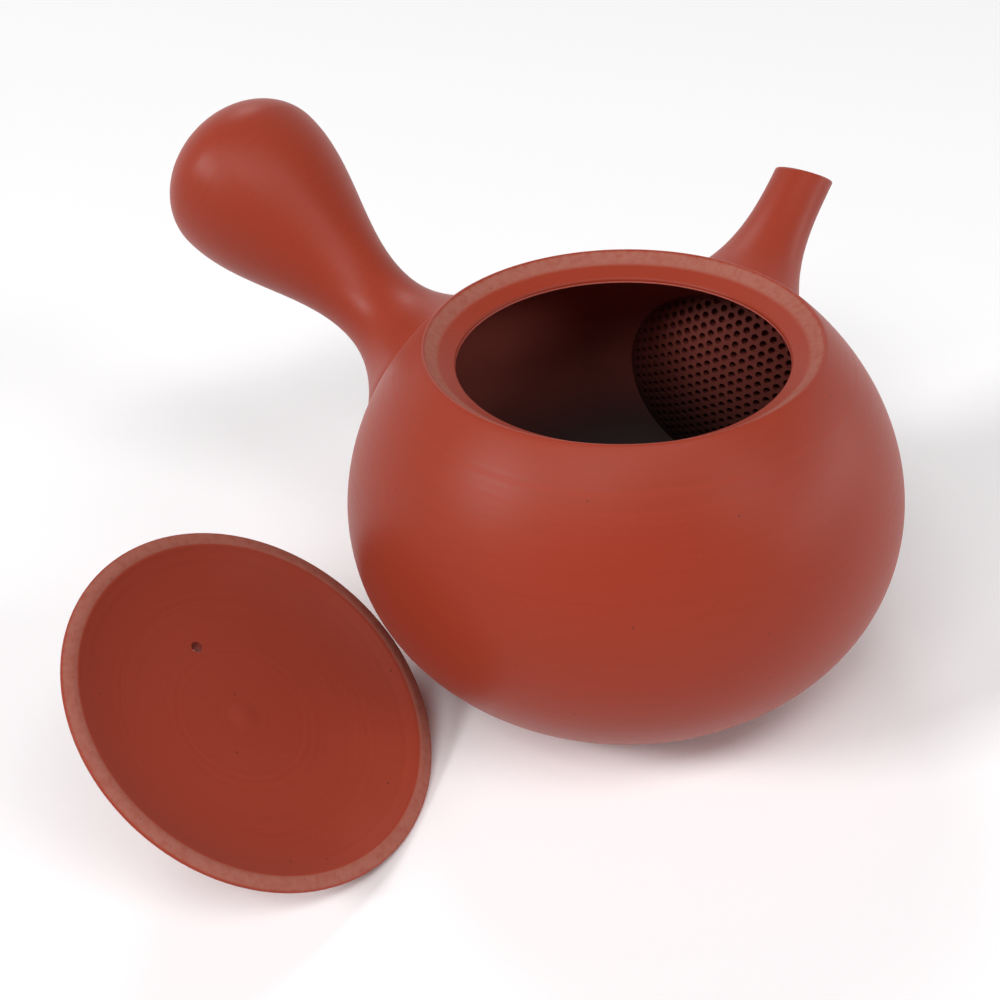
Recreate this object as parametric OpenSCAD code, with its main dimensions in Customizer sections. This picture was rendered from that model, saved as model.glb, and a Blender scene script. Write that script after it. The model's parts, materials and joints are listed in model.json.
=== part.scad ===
// Side-handled teapot of unglazed red clay: thrown body, spout, handle, strainer, and a lid with a ball knob.
// Millimetres. The origin is the centre of the foot, +Z is up and the spout points along +X.

/* [Body] */
// Outer radius at the belly, the widest line
belly_r = 52.5; // [48:0.5:58]
// Height of the belly line above the floor
belly_z = 37.3; // [35.5:0.1:39]
// Height at which the shoulder curve would close over the belly line
shoulder_h = 49; // [46:0.5:53]
// Fullness of the shoulder curve, 2 is an ellipse
shoulder_power = 1.9; // [1.8:0.05:2.1]
// Depth at which the hip curve would close under the belly line
hip_h = 39.7; // [38.5:0.1:42]
// Fullness of the hip curve, 2 is an ellipse
hip_power = 2.13; // [2:0.01:2.3]
// Thickness of the thrown wall
wall = 3; // [2.5:0.1:3.5]
// Thickness of the floor inside the foot
floor_t = 3.5; // [3:0.1:4.5]
// Radius of the flat foot
foot_r = 26; // [23:0.5:28]
// Height of the trimmed bevel between the foot and the hip
foot_bevel_h = 6.2; // [4.5:0.1:7]

/* [Rim and lid seat] */
// Radius of the ridge round the rim
rim_r = 36; // [34.5:0.1:37.5]
// Width of the smooth strip on the ridge
strip_w = 0.4; // [0.3:0.1:0.6]
// Width of the ground seat
seat_w = 2.2; // [1.8:0.1:2.6]
// Slope of the ground seat, falling inwards
seat_angle = 40; // [37:1:42]
// Slope of the ledge inside the seat, falling inwards
ledge_angle = 28; // [25:1:31]
// Radius of the mouth
mouth_r = 30.1; // [29:0.1:30.8]
// Rounding of the mouth's edge
mouth_round = 0.8; // [0.6:0.1:1]
// Thickness of the lip at its root, under the ledge
lip_t = 3.2; // [2.6:0.1:3.8]
// Height of the lip's upright edge under its rounding
lip_edge = 0.3; // [0.2:0.1:0.6]

/* [Spout] */
// Distance from the pot's axis to the middle of the spout's tip
spout_reach = 77.3; // [74:0.1:84]
// Height of the middle of the tip above the floor
spout_tip_z = 73.7; // [71:0.1:78]
// Rise of the spout's axis above level
spout_rise = 32.6; // [29:0.2:36]
// Outer radius at the tip
spout_tip_r = 6.1; // [5.5:0.1:7]
// Outer radius where the spout's flare meets the body
spout_root_r = 14.3; // [13:0.1:15.5]
// How far the spout's flare spreads past that before it runs straight
spout_roll = 2.5; // [1.5:0.1:3]
// Wall of the spout
spout_wall = 2; // [1.6:0.1:2.6]
// Angle between the cut at the tip and a square cut
tip_slant = 25; // [10:1:30]
// Radius of the port cut in the body's wall inside the spout
port_r = 6.2; // [5.6:0.1:6.6]

/* [Strainer] */
// Radius of the domed strainer where it meets the inside of the wall
strainer_r = 23; // [22.4:0.1:23.6]
// Height of the strainer's centre above the belly line
strainer_up = 4; // [3.4:0.1:4.6]
// Bulge of the dome into the pot
strainer_bulge = 6; // [5:0.1:7]
// Thickness of the strainer
strainer_t = 1.8; // [1.4:0.1:2.2]
// Diameter of the strainer's holes
hole_d = 1.4; // [1.2:0.1:1.5]
// Distance from hole to hole
hole_pitch = 2.15; // [2.1:0.05:2.6]
// Bare edge outside the holes
strainer_edge = 1.7; // [1.2:0.1:3]

/* [Handle] */
// Turn from the spout to the handle, seen from above
handle_turn = 81; // [72:1:100]
// Rise of the handle's axis above level
handle_rise = 26; // [18:0.5:30]
// Height at which the handle's axis crosses the pot's axis
handle_axis_z = 25; // [22:0.5:30]
// Distance along the handle's axis from the pot's axis to the end
handle_reach = 128.9; // [118:0.1:140]
// Radius of the bulb
bulb_r = 18.9; // [16:0.1:21]
// Distance from the end to the widest part of the bulb
bulb_cap = 14; // [11:0.1:17]
// Radius of the neck
neck_r = 8.9; // [7.5:0.1:10.5]
// Distance along the axis from the pot's axis to the neck
neck_at = 74; // [71:0.1:80]
// Radius of the flare where it meets the body's skin
handle_root_r = 17.2; // [15:0.1:19]
// How far the handle's flare spreads past that before it runs straight
handle_roll = 3; // [2:0.1:3.5]
// Wall of the hollow handle
handle_wall = 3.2; // [2.6:0.1:3.8]
// Diameter of the air hole under the neck
air_hole_d = 2; // [1.5:0.1:2.5]

/* [Lid and knob] */
// Clearance between the lid's ground band and the outer line of the seat
lid_gap = 0.65; // [0.6:0.05:0.8]
// How far the lid's edge passes the outer line of the seat
lid_over = 0.3; // [0.1:0.1:0.3]
// Depth of the dish under the lid
lid_dish = 6; // [5:0.1:7]
// Thickness of the lid at its middle
lid_t = 3; // [2.6:0.1:3.6]
// Height of the lid's upright edge
lid_side = 0.6; // [0.4:0.1:1]
// Width of the lid's ground band
band_w = 2.5; // [2.2:0.1:2.6]
// Slope of the lid's ground band, gentler than the seat's, falling inwards
band_angle = 12; // [10:1:13]
// Distance of the steam hole from the lid's middle
vent_at = 15.5; // [13:0.1:18]
// Direction of the steam hole from the spout when the lid is seated
vent_bearing = 66; // [0:1:359]
// Diameter of the steam hole
vent_d = 2.2; // [1.8:0.1:2.6]
// Radius of the ball knob
knob_r = 8; // [7:0.1:9]
// Height of the ball's middle above the top of the lid
knob_up = 9; // [8.6:0.1:10.5]
// Radius of the knob's neck
knob_neck_r = 4.6; // [4:0.1:5.2]
// Radius of the knob's foot on the lid
knob_foot_r = 6.6; // [6:0.1:7.2]

/* [Lid set down] */
// Distance from the belly line to the middle of the lid, set down on its knob and edge
lean_out = 24.7; // [24.5:0.1:33]
// Direction of the set-down lid from the pot's axis, from the spout
lean_bearing = 153.4; // [148:0.2:160]
// Direction that the lid's underside faces, from the spout
lean_facing = -73.8; // [-80:0.2:-68]

/* [Joints of slip] */
// Thickness of the slip that joins the clay pieces
slip_t = 0.4; // [0.3:0.05:0.6]

/* [Hidden] */
$fn = 96;

clay = [0.66, 0.27, 0.19];
slip_clay = [0.58, 0.23, 0.16];
dark_clay = [0.42, 0.15, 0.11];

// Steps along each curved stretch of an outline, and round the mouth's edge
steps = 20;
round_steps = 6;

// Radius of a swelling curve at the height z from its belly line
function swell(r, h, p, z) = r * pow(max(0, 1 - pow(abs(z) / h, p)), 1 / p);
// Height of the same curve at a given radius
function swell_z(r, h, p, x) = h * pow(max(0, 1 - pow(x / r, p)), 1 / p);
// Smooth step from a to b
function ease(a, b, t) = a + (b - a) * t * t * (3 - 2 * t);

// Skin of the body moved outwards by e, from the bevel's height up to the height top
function shoulder_r(e, z) = swell(belly_r + e, shoulder_h + e, shoulder_power, z - belly_z);
function hip_r(e, z) = swell(belly_r + e, hip_h + e, hip_power, belly_z - z);
function skin_r(e, z) = z < belly_z ? hip_r(e, z) : shoulder_r(e, z);
function skin_points(e, bottom, top) = concat(
    [for (i = [0 : steps]) let (z = bottom + (belly_z - bottom) * i / steps) [hip_r(e, z), z]],
    [for (i = [1 : steps]) let (z = belly_z + (top - belly_z) * i / steps) [shoulder_r(e, z), z]]);

// Heights and radii of the rim, from the ridge inwards
rim_z = belly_z + swell_z(belly_r, shoulder_h, shoulder_power, rim_r);
seat_r = rim_r - strip_w;
seat_in_r = seat_r - seat_w;
seat_in_z = rim_z - seat_w * tan(seat_angle);
ledge_in_r = mouth_r + mouth_round * sin(ledge_angle);
ledge_in_z = seat_in_z - (seat_in_r - ledge_in_r) * tan(ledge_angle);
round_z = ledge_in_z - mouth_round * cos(ledge_angle);
lip_z = ledge_in_z - lip_t;

// The lid meets the outer line of the seat with its band
lid_r = seat_r + lid_over;
lid_edge_z = rim_z + lid_gap / cos(band_angle) + lid_over * tan(band_angle);
lid_top = lid_dish + lid_t;
band_in_r = lid_r - band_w;
band_in_z = -band_w * tan(band_angle);
knob_mid = lid_top + knob_up;

// The lid leans on its edge and on its ball knob
lean_h = knob_mid - lid_side;
lean_tilt = atan2(lean_h, lid_r) + asin(knob_r / norm([lean_h, lid_r]));
lean_up = [sin(lean_tilt) * cos(lean_facing), sin(lean_tilt) * sin(lean_facing), cos(lean_tilt)];
lean_distance = belly_r + lean_out;
lean_mid = [lean_distance * cos(lean_bearing), lean_distance * sin(lean_bearing),
            lid_r * sin(lean_tilt) + lid_side * cos(lean_tilt)];

// One turn about this axis carries the lid from where it leans to its seat
seat_mid = [0, 0, lid_edge_z];
up = [0, 0, 1];
turn_raw = cross(seat_mid - lean_mid, up + lean_up);
turn_side = turn_raw * cross(-lean_up, up) < 0 ? -1 : 1;
turn_axis = turn_side * turn_raw / norm(turn_raw);
turn_from = -lean_up + (lean_up * turn_axis) * turn_axis;
turn_to = up - (up * turn_axis) * turn_axis;
turn_angle = atan2(turn_axis * cross(turn_from, turn_to), turn_from * turn_to);
turn_point = (lean_mid + seat_mid) / 2 + cross(turn_axis, seat_mid - lean_mid) / (2 * tan(turn_angle / 2));

// Where the axes of spout and handle pass through the skin, by walking in from outside
function spout_z(x) = spout_tip_z - (spout_reach - x) * tan(spout_rise);
function spout_wall_x(x, left) = left == 0 ? x : spout_wall_x(skin_r(0, spout_z(x)), left - 1);
spout_wall_r = spout_wall_x(belly_r, 30);
spout_len = (spout_reach - spout_wall_r) / cos(spout_rise);
function handle_z(x) = handle_axis_z + x * tan(handle_rise);
function handle_wall_x(x, left) = left == 0 ? x : handle_wall_x(skin_r(0, handle_z(x)), left - 1);
handle_root_at = handle_wall_x(belly_r, 30) / cos(handle_rise);

// Spread of a flare at the distance d past its root, where its slope is g: it runs straight after about w
function roll(w, g, d) = w * (1 - exp(-g * d / w));

// Spout radius at the distance d back from the tip
spout_slope = 3 * (spout_root_r - spout_tip_r) / spout_len;
function spout_flare(d) = spout_tip_r + (spout_root_r - spout_tip_r) * pow(max(0, d) / spout_len, 3);
function spout_r(d) = d < spout_len ? spout_flare(d) : spout_root_r + roll(spout_roll, spout_slope, d - spout_len);
// The flare runs on inside the skin so that the skin can trim it, and past the tip so that the cut can
spout_back = 9;
spout_past = 5;

// Handle radius at the distance s along its axis, thinned by t
bulb_at = handle_reach - bulb_cap;
handle_back = 12;
handle_power = 2.2;
handle_slope = handle_power * (handle_root_r - neck_r) / (neck_at - handle_root_at);
function handle_flare(s) = neck_r + (handle_root_r - neck_r)
    * pow((neck_at - s) / (neck_at - handle_root_at), handle_power);
function handle_r(s) = s < handle_root_at ? handle_root_r + roll(handle_roll, handle_slope, handle_root_at - s)
    : s < neck_at ? handle_flare(s) : ease(neck_r, bulb_r, (s - neck_at) / (bulb_at - neck_at));
function handle_points(t) = concat(
    [for (i = [0 : steps]) let (s = handle_root_at - handle_back
        + (neck_at - handle_root_at + handle_back) * i / steps) [handle_r(s) - t, s]],
    [for (i = [1 : steps]) let (s = neck_at + (bulb_at - neck_at) * i / steps) [handle_r(s) - t, s]],
    [for (i = [1 : steps]) let (a = 90 * i / steps) [(bulb_r - t) * cos(a), bulb_at + (bulb_cap - t) * sin(a)]]);

// Strainer dome: a ball whose face bulges into the pot, met by the wall at the strainer's radius
strainer_z = belly_z + strainer_up;
strainer_x = sqrt(pow(belly_r - wall, 2) - pow(strainer_r, 2));
dome_r = (pow(strainer_r, 2) + pow(strainer_bulge, 2)) / (2 * strainer_bulge);
dome_x = strainer_x - strainer_bulge + dome_r;
hole_field_r = strainer_r - strainer_edge;
hole_rows = ceil(hole_field_r / hole_pitch);
hole_columns = ceil(hole_field_r / (hole_pitch * sin(60)));

// Margin by which a cutter passes the face it cuts
over = 1;

module skin_solid(e) {
    rotate_extrude()
        polygon(concat([[0, foot_bevel_h - e]], skin_points(e, foot_bevel_h - e, rim_z), [[0, rim_z]]));
}

module cavity(e) {
    in = wall + e;
    rotate_extrude()
        polygon(concat([[0, floor_t + e]], skin_points(-in, floor_t + e, lip_z - e), [[0, lip_z - e]]));
}

module along_spout() {
    translate([spout_reach, 0, spout_tip_z]) rotate([0, 90 - spout_rise, 0]) children();
}

module along_handle() {
    translate([0, 0, handle_axis_z]) rotate([0, 0, handle_turn]) rotate([0, 90 - handle_rise, 0]) children();
}

module body() {
    inside = skin_points(-wall, floor_t, lip_z);
    color(clay) difference() {
        rotate_extrude() polygon(concat(
            [[0, 0], [foot_r, 0]],
            skin_points(0, foot_bevel_h, rim_z),
            [[seat_r, rim_z], [seat_in_r, seat_in_z]],
            [for (i = [0 : round_steps]) let (a = 90 + ledge_angle + (90 - ledge_angle) * i / round_steps)
                [mouth_r + mouth_round + mouth_round * cos(a), round_z + mouth_round * sin(a)]],
            [[mouth_r, round_z - lip_edge]],
            [for (i = [len(inside) - 1 : -1 : 0]) inside[i]],
            [[0, floor_t]]));
        along_spout() translate([0, 0, -spout_len - spout_back])
            cylinder(r = port_r, h = spout_back + 2 * wall);
    }
}

module spout_blank() {
    along_spout() difference() {
        rotate_extrude() polygon(concat(
            [[0, -spout_len - spout_back]],
            [for (i = [0 : steps]) let (d = (spout_len + spout_back) * (1 - i / steps)) [spout_r(d), -d]],
            [[spout_tip_r, spout_past], [0, spout_past]]));
        rotate_extrude() polygon(concat(
            [[0, -spout_len - spout_back - over]],
            [[spout_r(spout_len + spout_back) - spout_wall, -spout_len - spout_back - over]],
            [for (i = [0 : steps]) let (d = (spout_len + spout_back) * (1 - i / steps)) [spout_r(d) - spout_wall, -d]],
            [[spout_tip_r - spout_wall, spout_past + over], [0, spout_past + over]]));
        rotate([0, -tip_slant, 0]) translate([-belly_r, -belly_r, 0]) cube(2 * belly_r);
    }
}

module spout() {
    color(clay) difference() {
        spout_blank();
        skin_solid(slip_t);
    }
}

module spout_slip() {
    color(slip_clay) difference() {
        intersection() {
            spout_blank();
            skin_solid(slip_t);
        }
        skin_solid(0);
    }
}

module handle_blank() {
    along_handle() difference() {
        rotate_extrude() polygon(concat([[0, handle_root_at - handle_back]], handle_points(0)));
        rotate_extrude() polygon(concat([[0, handle_root_at - handle_back - over]],
            [[handle_r(handle_root_at - handle_back) - handle_wall, handle_root_at - handle_back - over]],
            handle_points(handle_wall)));
        translate([0, 0, neck_at]) rotate([0, 90, 0]) cylinder(d = air_hole_d, h = neck_r + over);
    }
}

module handle() {
    color(clay) difference() {
        handle_blank();
        skin_solid(slip_t);
    }
}

module handle_slip() {
    color(slip_clay) difference() {
        intersection() {
            handle_blank();
            skin_solid(slip_t);
        }
        skin_solid(0);
    }
}

module dome_shell() {
    translate([dome_x, 0, strainer_z]) difference() {
        sphere(r = dome_r);
        sphere(r = dome_r - strainer_t);
    }
}

module strainer() {
    color(dark_clay) difference() {
        intersection() {
            dome_shell();
            cavity(slip_t);
        }
        translate([strainer_x - strainer_bulge - over, 0, strainer_z])
            for (c = [-hole_columns : hole_columns], k = [-hole_rows : hole_rows]) {
                y = c * hole_pitch * sin(60);
                z = (k + (c % 2 == 0 ? 0 : 0.5)) * hole_pitch;
                if (norm([y, z]) <= hole_field_r)
                    translate([0, y, z]) rotate([0, 90, 0])
                        cylinder(d = hole_d, h = strainer_bulge + strainer_t + 3 * over, $fn = 24);
            }
    }
}

module strainer_slip() {
    color(slip_clay) difference() {
        intersection() {
            dome_shell();
            cavity(0);
        }
        cavity(slip_t);
    }
}

// The lid's top surface at the radius r, above the lid's edge
function lid_top_z(r) = lid_side + (lid_top - lid_side) * (1 - pow(r / lid_r, 3));
function lid_under_z(r) = band_in_z + (lid_dish - band_in_z) * (1 - pow(r / band_in_r, 3.8));

module set_down() {
    translate(turn_point) rotate(a = -turn_angle, v = turn_axis) translate(seat_mid - turn_point) children();
}

module lid() {
    color(clay) set_down() difference() {
        rotate_extrude() polygon(concat(
            [for (i = [0 : steps]) let (r = band_in_r * i / steps) [r, lid_under_z(r)]],
            [[lid_r, 0]],
            [for (i = [0 : steps]) let (r = lid_r * (1 - i / steps)) [r, lid_top_z(r)]]));
        rotate([0, 0, vent_bearing]) translate([vent_at, 0, 0]) cylinder(d = vent_d, h = lid_top + over);
    }
}

module knob_outline() {
    square([knob_neck_r, knob_mid]);
    translate([0, knob_mid]) circle(r = knob_r);
    difference() {
        square([knob_foot_r, lid_top + knob_up - knob_r + over]);
        translate([knob_foot_r, lid_top + knob_up - knob_r + over]) circle(r = knob_foot_r - knob_neck_r);
    }
}

module lid_top_outline(e) {
    polygon(concat([[0, -lid_r]], [[lid_r, -lid_r]],
        [for (i = [0 : steps]) let (r = lid_r * (1 - i / steps)) [r, lid_top_z(r) + e]]));
}

module right_half() {
    intersection() {
        children();
        translate([0, -lid_r]) square([lid_r, 3 * lid_r]);
    }
}

module knob() {
    color(clay) set_down() rotate_extrude() right_half() difference() {
        knob_outline();
        lid_top_outline(slip_t);
    }
}

module knob_slip() {
    color(slip_clay) set_down() rotate_extrude() right_half() difference() {
        intersection() {
            knob_outline();
            lid_top_outline(slip_t);
        }
        lid_top_outline(0);
    }
}

body();
spout();
spout_slip();
handle();
handle_slip();
strainer();
strainer_slip();
lid();
knob();
knob_slip();
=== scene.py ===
"""A side-handled teapot of unglazed red clay on a pale table, its lid set down beside it."""

import json
import math
from types import SimpleNamespace

import bmesh
import bpy
from bpy.props import FloatProperty, FloatVectorProperty, IntProperty, PointerProperty
from mathutils import Color, Matrix, Vector


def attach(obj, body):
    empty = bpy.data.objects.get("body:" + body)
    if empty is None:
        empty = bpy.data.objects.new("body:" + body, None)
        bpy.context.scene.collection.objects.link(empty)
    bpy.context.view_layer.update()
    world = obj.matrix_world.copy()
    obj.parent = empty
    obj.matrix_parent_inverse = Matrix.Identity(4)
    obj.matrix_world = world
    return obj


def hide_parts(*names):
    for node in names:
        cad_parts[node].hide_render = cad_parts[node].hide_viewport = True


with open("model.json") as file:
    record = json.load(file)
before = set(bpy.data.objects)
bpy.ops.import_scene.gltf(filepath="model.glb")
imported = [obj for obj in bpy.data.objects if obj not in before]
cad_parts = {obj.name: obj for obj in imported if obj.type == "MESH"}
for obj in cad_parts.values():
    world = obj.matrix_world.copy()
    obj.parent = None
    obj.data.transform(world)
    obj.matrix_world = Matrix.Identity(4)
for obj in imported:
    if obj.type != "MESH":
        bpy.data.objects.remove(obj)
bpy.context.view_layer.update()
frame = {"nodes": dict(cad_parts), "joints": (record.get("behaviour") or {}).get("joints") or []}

bl_info = {
    "name": "Side-handled teapot",
    "version": (1, 0, 0),
    "blender": (4, 5, 0),
    "location": "3D View > Sidebar > Teapot",
    "description": "Throws a red clay teapot with a loose lid and sets it on a pale table",
    "category": "Add Mesh",
}

MM = 0.001
MICRON = 0.000001
# Points along each curved stretch of an outline, and round a small rounded edge
CURVE_STEPS = 36
EDGE_STEPS = 8
# Steps across an edge that is softened with a bevel
SOFT_STEPS = 3
# Faces round a drill, and how far it goes past the clay
DRILL_TURNS = 48
DRILL_PAST = 1 * MM
# Room between the spout's last ring and its slanted cut, as a multiple of the cut's own depth
CUT_ROOM = 1.2
# Rounds after which the search for a point on the skin has come to rest
SEARCH_ROUNDS = 30
# Two points nearer than this are the same point
SAME = 1e-6
# Edges that turn by more than this stay crisp
CRISP = math.radians(38)


def length(name, mm, description):
    """A size in millimetres, kept in metres."""
    return FloatProperty(name=name, description=description, default=mm * MM, unit="LENGTH", precision=5)


def plain(name, value, description):
    """A number without a unit."""
    return FloatProperty(name=name, description=description, default=value)


def angle(name, degrees, description):
    """An angle in degrees, kept in radians."""
    return FloatProperty(name=name, description=description, default=math.radians(degrees), subtype="ANGLE")


def power(name, watts, description):
    """The power of a lamp."""
    return FloatProperty(name=name, description=description, default=watts, unit="POWER")


def tone(name, rgb, description):
    """A colour written as the 0 to 255 values that it has on a screen."""
    linear = tuple(Color([c / 255 for c in rgb]).from_srgb_to_scene_linear())
    look = {"default": linear, "subtype": "COLOR", "min": 0, "max": 1}
    return FloatVectorProperty(name=name, description=description, **look)


def turns(name, count, description):
    """How many faces go round a turned piece."""
    return IntProperty(name=name, description=description, default=count, min=32)


def softbox_settings(side, watts, bearing, rise, wide, tall):
    """Settings of the softbox on one side, which faces the pot."""
    title = f"{side.title()} softbox"
    lamp = f"the {side} softbox"
    return {
        f"{side}_power": power(title, watts, f"Power of {lamp}"),
        f"{side}_bearing": angle(f"{title} bearing", bearing, f"Direction of {lamp}, from the spout"),
        f"{side}_rise": angle(f"{title} rise", rise, f"Height of {lamp} above level"),
        f"{side}_wide": length(f"{title} width", wide, f"Width of {lamp}"),
        f"{side}_tall": length(f"{title} height", tall, f"Height of {lamp} across its face"),
    }


class BodySizes(bpy.types.PropertyGroup):
    """Sizes of the thrown body and its rim."""

    belly_r: length("Belly radius", 52.5, "Outer radius at the belly, the widest line")
    belly_z: length("Belly height", 37.3, "Height of the belly line above the table")
    shoulder_h: length("Shoulder height", 49, "Height at which the shoulder curve would close")
    shoulder_power: plain("Shoulder fullness", 1.9, "2 is an ellipse")
    hip_h: length("Hip depth", 39.7, "Depth at which the hip curve would close")
    hip_power: plain("Hip fullness", 2.13, "2 is an ellipse")
    wall: length("Wall", 3, "Thickness of the thrown wall")
    floor_t: length("Floor", 3.5, "Thickness of the floor inside the foot")
    foot_r: length("Foot radius", 26, "Radius of the flat foot")
    bevel_h: length("Foot bevel", 6.2, "Height of the trimmed bevel between foot and hip")
    rim_r: length("Rim radius", 36, "Radius of the ridge round the rim")
    strip_w: length("Ridge strip", 0.4, "Width of the smooth strip on the ridge")
    seat_w: length("Seat width", 2.2, "Width of the ground lid seat")
    seat_angle: angle("Seat slope", 40, "Slope of the seat, falling inwards")
    ledge_angle: angle("Ledge slope", 28, "Slope of the ledge inside the seat")
    mouth_r: length("Mouth radius", 30.1, "Radius of the mouth")
    mouth_round: length("Mouth rounding", 0.8, "Rounding of the mouth's edge")
    lip_t: length("Lip", 3.2, "Thickness of the lip at its root, under the ledge")
    lip_edge: length("Lip edge", 0.3, "Height of the lip's upright edge")
    foot_soft: length("Foot edges", 0.8, "Rounding of the foot's edges")
    ridge_soft: length("Ridge edge", 0.3, "Rounding of the ridge round the rim")
    seat_soft: length("Seat edges", 0.12, "Rounding of the seat's edges")
    seat_wear: length("Seat wear", 0.7, "How far the grinding reaches past the seat onto the ledge")
    turns: turns("Turns", 192, "Faces round the body")


class SpoutSizes(bpy.types.PropertyGroup):
    """Sizes of the spout."""

    reach: length("Reach", 77.3, "Distance from the pot's axis to the middle of the tip")
    tip_z: length("Tip height", 73.7, "Height of the middle of the tip")
    rise: angle("Rise", 32.6, "Rise of the spout's axis above level")
    tip_r: length("Tip radius", 6.1, "Outer radius at the tip")
    root_r: length("Root radius", 14.3, "Outer radius where the flare meets the body")
    roll: length("Root roll", 2.5, "How far the flare spreads past that before it runs straight")
    wall: length("Wall", 2, "Wall of the spout")
    back: length("Hidden root", 9, "How far the spout goes on into the body before it is trimmed")
    past: length("Past the tip", 5, "How far the spout is thrown past its slanted cut")
    slant: angle("Tip slant", 25, "Angle between the cut at the tip and a square cut")
    port_r: length("Port radius", 6.2, "Radius of the port cut in the body's wall")
    tip_soft: length("Tip edge", 0.45, "Rounding of the tip's edges")
    flare: plain("Flare", 3, "How late the flare opens towards the body")
    turns: turns("Turns", 96, "Faces round the spout")


class HandleSizes(bpy.types.PropertyGroup):
    """Sizes of the hollow side handle."""

    turn: angle("Turn", 81, "Turn from the spout to the handle, seen from above")
    rise: angle("Rise", 26, "Rise of the handle's axis above level")
    axis_z: length("Axis height", 25, "Height at which the handle's axis crosses the pot's axis")
    reach: length("Reach", 128.9, "Distance along the axis from the pot's axis to the end")
    bulb_r: length("Bulb radius", 18.9, "Radius of the bulb")
    bulb_cap: length("Bulb cap", 14, "Distance from the end to the widest part of the bulb")
    neck_r: length("Neck radius", 8.9, "Radius of the neck")
    neck_at: length("Neck place", 74, "Distance along the axis to the neck")
    root_r: length("Root radius", 17.2, "Radius of the flare where it meets the body's skin")
    roll: length("Root roll", 3, "How far the flare spreads past that before it runs straight")
    back: length("Hidden root", 12, "How far the handle goes on into the body before it is trimmed")
    flare: plain("Flare", 2.2, "How late the flare opens towards the body")
    wall: length("Wall", 3.2, "Wall of the hollow handle")
    air_hole_d: length("Air hole", 2, "Diameter of the air hole under the neck")
    turns: turns("Turns", 128, "Faces round the handle")


class LidSizes(bpy.types.PropertyGroup):
    """Sizes of the lid and its knob."""

    gap: length("Gap", 0.65, "Clearance between the lid's ground band and the seat")
    over: length("Overhang", 0.3, "How far the lid's edge passes the outer line of the seat")
    dish: length("Dish", 6, "Depth of the dish under the lid")
    thick: length("Thickness", 3, "Thickness of the lid at its middle")
    side: length("Side", 0.6, "Height of the lid's upright edge")
    band_w: length("Band", 2.5, "Width of the lid's ground band")
    band_angle: angle("Band slope", 12, "Slope of the ground band, falling inwards")
    band_soft: length("Band edge", 0.9, "Rounding of the band's inner edge")
    side_soft: length("Side edges", 0.18, "Rounding of the edges of the lid's upright side")
    button_r: length("Button radius", 3.5, "Radius of the faint button that the wheel left in the dish")
    button_h: length("Button height", 0.4, "Height of that button")
    dish_power: plain("Dish fullness", 3.8, "How late the dish curves down to the band")
    top_power: plain("Top fullness", 3, "How late the top curves down to the edge")
    vent_at: length("Steam hole place", 15.5, "Distance of the steam hole from the lid's middle")
    vent_bearing: angle("Steam hole direction", 66, "From the spout when the lid is seated")
    vent_d: length("Steam hole", 2.2, "Diameter of the steam hole")
    knob_r: length("Knob radius", 8, "Radius of the ball knob")
    knob_up: length("Knob height", 9, "Height of the ball's middle above the top of the lid")
    neck_r: length("Knob neck", 4.6, "Radius of the knob's neck")
    foot_r: length("Knob foot", 6.6, "Radius of the knob's foot")
    slip_t: length("Slip", 0.4, "Thickness of the slip that joins the clay pieces")
    turns: turns("Turns", 160, "Faces round the lid")
    knob_turns: turns("Knob turns", 96, "Faces round the knob")


class ClayLooks(bpy.types.PropertyGroup):
    """Colours and finish of the clay."""

    red: tone("Red clay", (142, 48, 28), "Burnished red clay")
    # Partly painted sheen: the dish's clay is paler than the burnished red, standing in for the haze of
    # reflection on it, on clay smoothed but not burnished
    dish: tone("Dish clay", (149, 59, 42), "Clay of the lid's dish, smoothed but not burnished")
    ground: tone("Ground clay", (158, 95, 81), "Dry clay where lid and seat were ground together")
    inside: tone("Inside clay", (196, 100, 88), "Clay high inside the pot, not burnished")
    # Painted shade: the deep clay darkens the inside low down, standing in for the shade in the pot's
    # hollow
    deep: tone("Deep clay", (36, 20, 18), "Clay low inside the pot, darkened by tea")
    screen: tone("Strainer clay", (110, 47, 39), "Clay of the strainer, not burnished")
    speck: tone("Speck", (62, 34, 28), "Iron specks in the clay")
    polish: plain("Roughness", 0.42, "Roughness of the burnished skin")
    shine: plain("Shine", 0.17, "Strength of the burnished skin's reflection, 0.5 for glass")
    dust: plain("Dust", 0.04, "Strength of the pale sheen at grazing angles")
    dry: plain("Ground roughness", 0.8, "Roughness of ground clay")
    raw: plain("Inside roughness", 0.65, "Roughness of clay inside the pot, not burnished")
    fade: length("Ground edge", 1, "Width over which ground clay fades into the clay beside it")
    mottle: plain("Mottling", 0.35, "How much red clay shows through ground clay")
    clouds: plain("Clouds", 0.07, "How much soft clouds lighten and darken the skin")
    grain: plain("Grain", 0.05, "How much fine grain lightens and darkens the skin")
    lines: plain("Wheel lines", 0.07, "How much the wheel's lines lighten and darken the skin")
    specks: plain("Specks", 0.7, "Strength of the iron specks in the skin")
    # Heights over which the painted shade inside the pot fades out
    painted_shade_low: length("Tea stain foot", 21, "Height below which the inside is darkest")
    painted_shade_high: length("Tea stain top", 61, "Height above which the inside keeps its own colour")


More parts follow.
